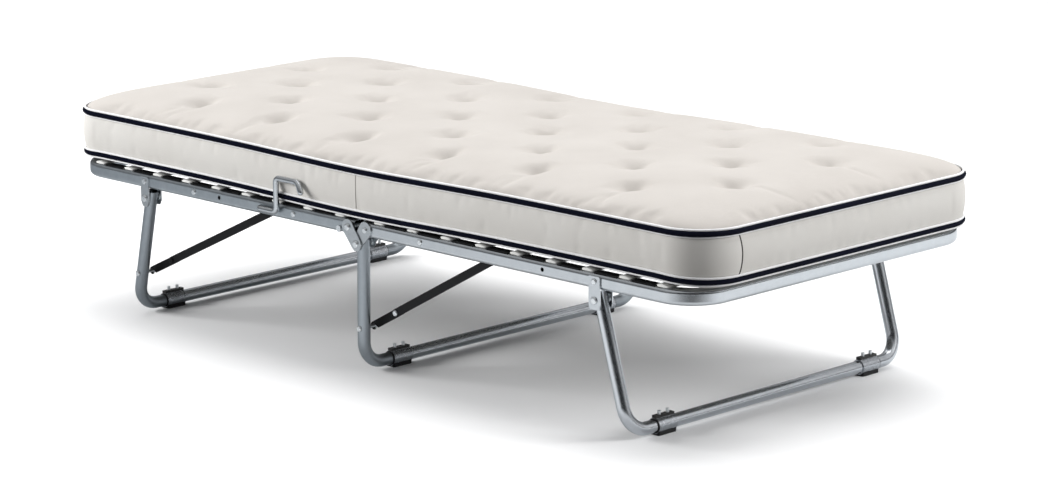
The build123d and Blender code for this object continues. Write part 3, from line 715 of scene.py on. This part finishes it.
def strands(name, material, lines, sides=STRAND_SIDES):
    """Open tubes along lines of (point, radius), with closed tips."""
    verts, faces, uvs = [], [], []
    for line in lines:
        points = [Vector(entry[0]) for entry in line]
        radii = [entry[1] for entry in line]
        start = len(verts)
        run = 0.0
        side = None
        for k, (p, radius) in enumerate(zip(points, radii)):
            before = points[max(k - 1, 0)]
            after = points[min(k + 1, len(points) - 1)]
            along = (after - before).normalized()
            if side is None:
                side = along.orthogonal().normalized()
            else:
                side = (side - along * side.dot(along)).normalized()
                run += (p - points[k - 1]).length
            other = along.cross(side)
            for step in range(sides):
                turn = 2 * math.pi * step / sides
                verts.append(p + radius * (math.cos(turn) * side + math.sin(turn) * other))
                uvs.append((run, radius * turn))
        for k in range(len(points) - 1):
            base = start + k * sides
            for step in range(sides):
                q = (step + 1) % sides
                faces.append((base + step, base + q, base + sides + q, base + sides + step))
        last = start + (len(points) - 1) * sides
        faces.append(tuple(reversed(range(start, start + sides))))
        faces.append(tuple(range(last, last + sides)))
    obj = new_object(name, verts, faces, material)
    put_uvs(obj, uvs)
    return obj


mattress, top_total, bottom_first = build_mattress()
simulate(mattress, top_total, bottom_first)
subdivide(mattress)

piping = tubes(
    "mattress_piping",
    navy_cloth,
    [
        (seam_loop(UPPER_SEAM_Z, PIPING_PLACE), PIPING_RADIUS),
        (seam_loop(LOWER_SEAM_Z, PIPING_PLACE), PIPING_RADIUS),
    ],
    PIPING_SIDES,
)
welts = tubes(
    "mattress_welts",
    welt_cloth,
    [
        (seam_loop(UPPER_SEAM_Z, TOP_WELT_PLACE), WELT_RADIUS),
        (seam_loop(UPPER_SEAM_Z, FINE_WELT_PLACE), FINE_WELT_RADIUS),
        (seam_loop(LOWER_SEAM_Z, LOW_WELT_PLACE), WELT_RADIUS),
        (seam_loop(LOWER_SEAM_Z, LIP_PLACE), LIP_RADIUS),
    ],
    WELT_SIDES,
)

# Joins in the side band and the sewn tufts, laid on the finished cover
BAND_JOIN_X = -0.005
END_JOIN_Y = -0.322
JOIN_STEPS = 14
JOIN_BOW = 0.005
JOIN_CLEAR = 0.008
SIDE_JOIN_RADIUS = 0.0009
END_JOIN_RADIUS = 0.0014
PROBE_REACH = 0.06
cover = BVHTree.FromObject(mattress, bpy.context.evaluated_depsgraph_get())


def on_cover(place, inward):
    """Point of the cover that is met from outside, going inward from the place."""
    inward = Vector(inward)
    hit = cover.ray_cast(Vector(place) - inward * PROBE_REACH, inward, 2 * PROBE_REACH)[0]
    return Vector(place) if hit is None else hit


def band_line(x, y, inward, radius):
    """Line down the side band from seam to seam, bowed a little along the band."""
    upper = float(seam_height(np.array(x), UPPER_SEAM_Z)) - JOIN_CLEAR
    lower = float(seam_height(np.array(x), LOWER_SEAM_Z)) + JOIN_CLEAR
    points = []
    for k in range(JOIN_STEPS + 1):
        t = k / JOIN_STEPS
        aside = JOIN_BOW * math.sin(math.pi * t)
        z = upper * (1 - t) + lower * t
        place = (x + abs(inward[1]) * aside, y + abs(inward[0]) * aside, z)
        points.append((on_cover(place, inward), radius))
    return points


def tuft_stitches():
    """Two crossed threads in the bottom of every tuft."""
    lines = []
    for x, y in tufts:
        for slant in (1, -1):
            line = []
            for k in range(STITCH_STEPS + 1):
                reach = STITCH_REACH * (2 * k / STITCH_STEPS - 1)
                place = on_cover((x + reach, y + slant * reach, UPPER_SEAM_Z), (0, 0, -1))
                line.append((place, STITCH_RADIUS))
            lines.append(line)
    return lines


side_line = band_line(BAND_JOIN_X, -WIDTH / 2, (0, 1, 0), SIDE_JOIN_RADIUS)
end_line = band_line(LENGTH / 2, END_JOIN_Y, (-1, 0, 0), END_JOIN_RADIUS)
band_join = strands("band_join", pale_thread, [side_line])
end_join = strands("end_join", thread, [end_line])
stitches = strands("tuft_stitches", pale_thread, tuft_stitches(), STITCH_SIDES)

# Black strips on the rail tops, between the slats: dark pieces that paint the shade of the gaps under
# the mattress
SLAT_PITCH = 0.1
SLAT_FIRST = 0.06
SLAT_HALF = 0.018
SLAT_COUNT = 9
STRIP_MIDDLE = 0.410
STRIP_HALF = 0.0125
STRIP_HEIGHT = 0.0012
STRIP_SQUARE_SHARE = 0.6
STRIP_CORNERS = 4
RAIL_TOP = 0.3295
STRIP_CLEAR = 0.001


def rail_shade_strips(name, direction):
    """Low black strips with chamfered rims, one in each gap along both rails of a half, painting the
    shade between the slats.
    """
    verts, faces = [], []
    rim = STRIP_HEIGHT * STRIP_SQUARE_SHARE
    levels = ((0.0, 0.0), (rim, 0.0), (STRIP_HEIGHT, rim))
    for side in (-1, 1):
        for gap in range(SLAT_COUNT - 1):
            low = SLAT_FIRST + gap * SLAT_PITCH + SLAT_HALF + STRIP_CLEAR
            high = SLAT_FIRST + (gap + 1) * SLAT_PITCH - SLAT_HALF - STRIP_CLEAR
            ends = sorted((direction * low, direction * high))
            y = side * STRIP_MIDDLE
            start = len(verts)
            for up, inset in levels:
                x_low, x_high = ends[0] + inset, ends[1] - inset
                y_low, y_high = y - STRIP_HALF + inset, y + STRIP_HALF - inset
                z = RAIL_TOP + up
                verts += [(x_low, y_low, z), (x_high, y_low, z)]
                verts += [(x_high, y_high, z), (x_low, y_high, z)]
            for level in range(len(levels) - 1):
                base = start + STRIP_CORNERS * level
                above = base + STRIP_CORNERS
                for k in range(STRIP_CORNERS):
                    n = (k + 1) % STRIP_CORNERS
                    faces.append((base + k, base + n, above + n, above + k))
            top = start + STRIP_CORNERS * (len(levels) - 1)
            faces.append(tuple(reversed(range(start, start + STRIP_CORNERS))))
            faces.append(tuple(range(top, top + STRIP_CORNERS)))
    return new_object(name, verts, faces, black_rubber, smooth=False)


# Slats with a lens-shaped section, thinner towards their ends
SLAT_REACH = 0.420
SLAT_THICK = 0.010
SLAT_THIN = 0.0058
SLAT_TAPER = 0.12
SLAT_NOSE = 0.008
SLAT_LENS = 0.55
SLAT_SHARP_DEGREES = 38
SLAT_NOSE_STATIONS = (0.0, 0.0006, 0.0015, 0.003, 0.005, 0.008)
SLAT_STATIONS = SLAT_NOSE_STATIONS + (0.016, 0.03, 0.05, 0.075, 0.1, 0.13, 0.25, 0.42)
SLAT_ACROSS = (-1.0, -0.92, -0.78, -0.55, -0.28, 0.0, 0.28, 0.55, 0.78, 0.92, 1.0)
SLAT_UNDER = (0.93, 0.0, -0.93)


def slat_ring(x, y, from_end):
    """One closed section of a slat at a distance from its end."""
    nose = SLAT_NOSE - min(from_end, SLAT_NOSE)
    wide = SLAT_HALF - SLAT_NOSE + math.sqrt(SLAT_NOSE**2 - nose**2)
    taper = smooth_step(min(from_end / SLAT_TAPER, 1.0))
    thick = SLAT_THIN + (SLAT_THICK - SLAT_THIN) * taper
    ring = [(x + u * wide, y, RAIL_TOP + thick * (1 - SLAT_LENS * u * u)) for u in SLAT_ACROSS]
    return ring + [(x + u * wide, y, RAIL_TOP) for u in SLAT_UNDER]


def bent_slats(name, direction):
    """All slats of one half."""
    verts, faces = [], []
    around = len(SLAT_ACROSS) + len(SLAT_UNDER)
    ends = [(-SLAT_REACH + d, d) for d in SLAT_STATIONS]
    ends += [(SLAT_REACH - d, d) for d in reversed(SLAT_STATIONS[:-1])]
    for index in range(SLAT_COUNT):
        x = direction * (SLAT_FIRST + index * SLAT_PITCH)
        start = len(verts)
        for y, from_end in ends:
            verts += slat_ring(x, y, from_end)
        for k in range(len(ends) - 1):
            base = start + k * around
            for step in range(around):
                q = (step + 1) % around
                faces.append((base + step, base + around + step, base + around + q, base + q))
        last = start + (len(ends) - 1) * around
        faces.append(tuple(range(start, start + around)))
        faces.append(tuple(reversed(range(last, last + around))))
    obj = new_object(name, verts, faces, lacquer)
    obj.data.set_sharp_from_angle(angle=math.radians(SLAT_SHARP_DEGREES))
    return obj


for half_name, direction in (("head", -1), ("foot", 1)):
    # Painted shade: black strips between the slat ends
    strip = rail_shade_strips(half_name + "_rail_shade_strips", direction)
    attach(strip, half_name + "_half")
    laths = bent_slats(half_name + "_bent_slats", direction)
    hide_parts(half_name + "_slats")
    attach(laths, half_name + "_half")

# Dark rings where the bent tubes meet the floor tubes
RING_RADIUS = 0.0143
RING_THICK = 0.0011
RING_Y = 0.3375
RING_STEPS = 36
FLOOR_TUBE_Z = 0.01855
LEG_FEET = {"head_leg": -0.75096, "mid_leg": -0.00258, "foot_leg": 0.76068}


def joint_rings(name, foot_x):
    """Thin rubber ring at each clamp's outer edge."""
    lines = []
    for side in (-1, 1):
        line = []
        for step in range(RING_STEPS + 1):
            turn = 2 * math.pi * step / RING_STEPS
            x = foot_x + RING_RADIUS * math.cos(turn)
            z = FLOOR_TUBE_Z + RING_RADIUS * math.sin(turn)
            line.append(((x, side * RING_Y, z), RING_THICK))
        lines.append(line)
    return strands(name, black_rubber, lines)


for leg_name, foot_x in LEG_FEET.items():
    rings = joint_rings(leg_name + "_joint_rings", foot_x)
    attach(rings, leg_name)

# Rod hooks with round bends and a round tip
HOOK_ROD = 0.0064
HOOK_SIDES = 20
HOOK_Y = 0.435
HOOK_START_Y = 0.390
HOOK_LEVEL = 0.3135
HOOK_TOP_LEVEL = 0.3875
HOOK_START_X = -0.302
HOOK_RISE_X = -0.242
HOOK_TURN_X = -0.173
HOOK_TIP = (0.014, 0.004, 0.019)
HOOK_BENDS = (0.010, 0.011, 0.010, 0.016)
BEND_STEPS = 10
TIP_DEGREES = (25, 50, 72, 88)


def rounded_route(corners, bends):
    """Points along straight runs joined by arcs."""
    corners = [Vector(c) for c in corners]
    route = [corners[0]]
    for k, radius in enumerate(bends):
        here = corners[k + 1]
        back_way = (corners[k] - here).normalized()
        on_way = (corners[k + 2] - here).normalized()
        half_angle = back_way.angle(on_way) / 2
        middle = here + (back_way + on_way).normalized() * (radius / math.sin(half_angle))
        first = here + back_way * (radius / math.tan(half_angle)) - middle
        final = here + on_way * (radius / math.tan(half_angle)) - middle
        sweep = math.pi - 2 * half_angle
        for step in range(BEND_STEPS + 1):
            t = step / BEND_STEPS
            arm = first * math.sin((1 - t) * sweep) + final * math.sin(t * sweep)
            route.append(middle + arm / math.sin(sweep))
    route.append(corners[-1])
    return route


def hook_rod(name, side):
    """Rod that leaves the rail sideways, rises beside the mattress and runs on to a dipped tip."""
    turn_out = HOOK_Y + HOOK_TIP[1]
    route = rounded_route(
        [
            (HOOK_START_X, side * HOOK_START_Y, HOOK_LEVEL),
            (HOOK_START_X, side * HOOK_Y, HOOK_LEVEL),
            (HOOK_RISE_X, side * HOOK_Y, HOOK_LEVEL),
            (HOOK_RISE_X, side * HOOK_Y, HOOK_TOP_LEVEL),
            (HOOK_TURN_X, side * HOOK_Y, HOOK_TOP_LEVEL),
            (HOOK_TURN_X + HOOK_TIP[0], side * turn_out, HOOK_TOP_LEVEL - HOOK_TIP[2]),
        ],
        HOOK_BENDS,
    )
    line = [(p, HOOK_ROD) for p in route]
    tip = (route[-1] - route[-2]).normalized()
    for degrees in TIP_DEGREES:
        angle = math.radians(degrees)
        line.append((route[-1] + tip * HOOK_ROD * math.sin(angle), HOOK_ROD * math.cos(angle)))
    # The rod takes the lit copy of the zinc, whose lighter tint is painted light
    return strands(name, zinc_lit_copy, [line], HOOK_SIDES)


for place, side in (("near", -1), ("far", 1)):
    rod = hook_rod("bent_hook_" + place, side)
    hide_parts("rod_hook_" + place)
    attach(rod, "hook_" + place)

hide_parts("mattress_head", "mattress_fold", "mattress_foot")
for piece in (mattress, piping, welts, band_join, stitches):
    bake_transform(piece)
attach(end_join, "foot_half")

# Camera, from the photo's solved view
CAMERA_AZIMUTH = math.radians(45.2886)
CAMERA_ELEVATION = math.radians(12.9644)
CAMERA_ROLL = math.radians(-0.4515)
CAMERA_PLACE = Vector((5.43193, -5.31584, 1.94557))
FOCAL_PIXELS = 3609.23
IMAGE_WIDTH = 1048.0
SENSOR_WIDTH = 36.0


def photo_camera():
    back = Vector(
        (
            math.sin(CAMERA_AZIMUTH) * math.cos(CAMERA_ELEVATION),
            -math.cos(CAMERA_AZIMUTH) * math.cos(CAMERA_ELEVATION),
            math.sin(CAMERA_ELEVATION),
        )
    )
    level_right = Vector((math.cos(CAMERA_AZIMUTH), math.sin(CAMERA_AZIMUTH), 0.0))
    level_up = back.cross(level_right)
    right = level_right * math.cos(CAMERA_ROLL) + level_up * math.sin(CAMERA_ROLL)
    up = level_up * math.cos(CAMERA_ROLL) - level_right * math.sin(CAMERA_ROLL)
    data = bpy.data.cameras.new("camera")
    data.sensor_fit = "HORIZONTAL"
    data.sensor_width = SENSOR_WIDTH
    data.lens = FOCAL_PIXELS / IMAGE_WIDTH * SENSOR_WIDTH
    camera = bpy.data.objects.new("camera", data)
    scene.collection.objects.link(camera)
    turned = Matrix((right, up, back)).transposed().to_4x4()
    camera.matrix_world = Matrix.Translation(CAMERA_PLACE) @ turned
    return camera


scene.camera = photo_camera()

# Floor
FLOOR_HALF = 20.0
FLOOR_WHITE = (0.93, 0.93, 0.93)
FLOOR_BOUNCE = (0.25, 0.25, 0.25)
MIRRORED_DARK = (0.20, 0.215, 0.23)
MIRRORED_LIGHT = (0.60, 0.615, 0.63)
MIRRORED_DARK_X = -1.9
MIRRORED_LIGHT_X = 0.1
DARK_SPOT = (2.1, -1.7, 0.0)
DARK_SPOT_RADIUS = 2.0
DARK_SPOT_SHARE = 0.02


def studio_floor():
    """White floor that throws less light back and looks darker in reflections than it is."""
    m = new_material("floor")
    m.set(Roughness=0.9, Specular_IOR_Level=0.1)
    place = m.node("ShaderNodeTexCoord")
    split = m.node("ShaderNodeSeparateXYZ")
    m.link(place, "Object", split, "Vector")
    along = m.node("ShaderNodeMapRange", From_Min=MIRRORED_DARK_X, From_Max=MIRRORED_LIGHT_X)
    m.link(split, "X", along, "Value")
    mirrored = m.ramp(MIRRORED_DARK, MIRRORED_LIGHT, start=0.0, end=1.0)
    m.link(along, "Result", mirrored, "Fac")
    away = m.node("ShaderNodeVectorMath", operation="DISTANCE")
    m.link(place, "Object", away, 0)
    away.inputs[1].default_value = DARK_SPOT
    spot = m.node("ShaderNodeMapRange", From_Max=DARK_SPOT_RADIUS, To_Min=DARK_SPOT_SHARE)
    spot.interpolation_type = "SMOOTHSTEP"
    m.link(away, "Value", spot, "Value")
    dimmed = m.node("ShaderNodeVectorMath", operation="SCALE")
    m.link(mirrored, "Color", dimmed, 0)
    m.link(spot, "Result", dimmed, "Scale")
    ray = m.node("ShaderNodeLightPath")
    bounced = m.node("ShaderNodeMix", data_type="RGBA")
    m.link(ray, "Is Diffuse Ray", bounced, MIX_FACTOR)
    bounced.inputs[MIX_COLOUR_A].default_value = (*FLOOR_WHITE, 1)
    bounced.inputs[MIX_COLOUR_B].default_value = (*FLOOR_BOUNCE, 1)
    shown = m.node("ShaderNodeMix", data_type="RGBA")
    m.link(ray, "Is Glossy Ray", shown, MIX_FACTOR)
    m.link(bounced, MIX_COLOUR_OUT, shown, MIX_COLOUR_A)
    m.link(dimmed, "Vector", shown, MIX_COLOUR_B)
    m.link(shown, MIX_COLOUR_OUT, m.shader, "Base Color")
    return m.owner


floor = new_object(
    "floor",
    [
        (-FLOOR_HALF, -FLOOR_HALF, 0),
        (FLOOR_HALF, -FLOOR_HALF, 0),
        (FLOOR_HALF, FLOOR_HALF, 0),
        (-FLOOR_HALF, FLOOR_HALF, 0),
    ],
    [(0, 1, 2, 3)],
    studio_floor(),
)

# Lights
RIGHT_PLACE = (4.4, 2.6, 2.0)
RIGHT_TARGET = (0.5, 0.2, 0.3)
RIGHT_SIZE = (2.4, 2.0)
SUN_POWER = 1.7
SUN_SPREAD = math.radians(56)
SUN_AIM = (0.27, -0.42, -1.0)


def add_light(name, kind, place, aim, power, mirrored):
    """Light that shines along its aim, and shows in reflections only if mirrored."""
    light = bpy.data.objects.new(name, bpy.data.lights.new(name, kind))
    light.data.energy = power
    scene.collection.objects.link(light)
    light.location = place
    light.rotation_euler = Vector(aim).to_track_quat("-Z", "Y").to_euler()
    light.visible_glossy = mirrored
    return light


def area_light(name, place, target, size, power, mirrored):
    light = add_light(name, "AREA", place, Vector(target) - Vector(place), power, mirrored)
    light.data.shape = "RECTANGLE"
    light.data.size = size[0]
    light.data.size_y = size[1]


area_light(
    "overhead", place=(0.2, 0.9, 4.0), target=(0, 0, 0.3), size=(4.0, 2.4), power=60, mirrored=True
)
area_light(
    "left_side", place=(-4.6, -4.2, 2.4), target=(-0.3, -0.3, 0.3), size=(3.4, 2.4), power=420,
    mirrored=False,
)
area_light("right_side", RIGHT_PLACE, RIGHT_TARGET, RIGHT_SIZE, power=85, mirrored=False)
area_light("right_gleam", RIGHT_PLACE, RIGHT_TARGET, RIGHT_SIZE, power=90, mirrored=True)
sun = add_light("soft_sky", "SUN", (0, 0, 0), SUN_AIM, SUN_POWER, mirrored=False)
sun.data.angle = SUN_SPREAD

# Sky: a grey that lights the object, and a white backdrop
SKY_STRENGTH = 0.55
BACKDROP_WHITE = (1.75, 1.75, 1.75)
SKY_UP = (0.0, 0.0, 1.0)
SKY_LOW = (0.16, 0.165, 0.175)
SKY_HIGH = (0.95, 0.96, 0.98)
SKY_FRONT = (0.7, -0.7, -0.1)
FRONT_OPEN = (1.0, 1.0, 1.0)
FRONT_DARK = (0.05, 0.05, 0.055)


def studio_sky():
    """Grey sky, lighter above and dark towards the front, seen by diffuse and glossy rays alone."""
    w = Nodes(bpy.data.worlds.new("studio"), "Background")
    w.set(Strength=SKY_STRENGTH)
    where = w.node("ShaderNodeTexCoord")

    def leaning(direction, low, high, start, end):
        """Grey that changes with how far a sky direction leans towards the one given."""
        facing = w.node("ShaderNodeVectorMath", operation="DOT_PRODUCT")
        w.link(where, "Generated", facing, 0)
        facing.inputs[1].default_value = direction
        shade = w.ramp(low, high, start, end)
        w.link(facing, "Value", shade, "Fac")
        return shade

    height = leaning(SKY_UP, SKY_LOW, SKY_HIGH, start=0.05, end=0.75)
    front = leaning(SKY_FRONT, FRONT_OPEN, FRONT_DARK, start=0.40, end=0.85)
    dimmed = w.node("ShaderNodeMix", data_type="RGBA", blend_type="MULTIPLY")
    dimmed.inputs[MIX_FACTOR].default_value = 1.0
    w.link(height, "Color", dimmed, MIX_COLOUR_A)
    w.link(front, "Color", dimmed, MIX_COLOUR_B)
    ray = w.node("ShaderNodeLightPath")
    bent = w.node("ShaderNodeMath", operation="MAXIMUM")
    w.link(ray, "Is Diffuse Ray", bent, 0)
    w.link(ray, "Is Glossy Ray", bent, 1)
    backdrop = w.node("ShaderNodeMix", data_type="RGBA")
    w.link(bent, "Value", backdrop, MIX_FACTOR)
    backdrop.inputs[MIX_COLOUR_A].default_value = (*BACKDROP_WHITE, 1)
    w.link(dimmed, MIX_COLOUR_OUT, backdrop, MIX_COLOUR_B)
    w.link(backdrop, MIX_COLOUR_OUT, w.shader, "Color")
    return w.owner


scene.world = studio_sky()
scene.view_settings.view_transform = "Standard"
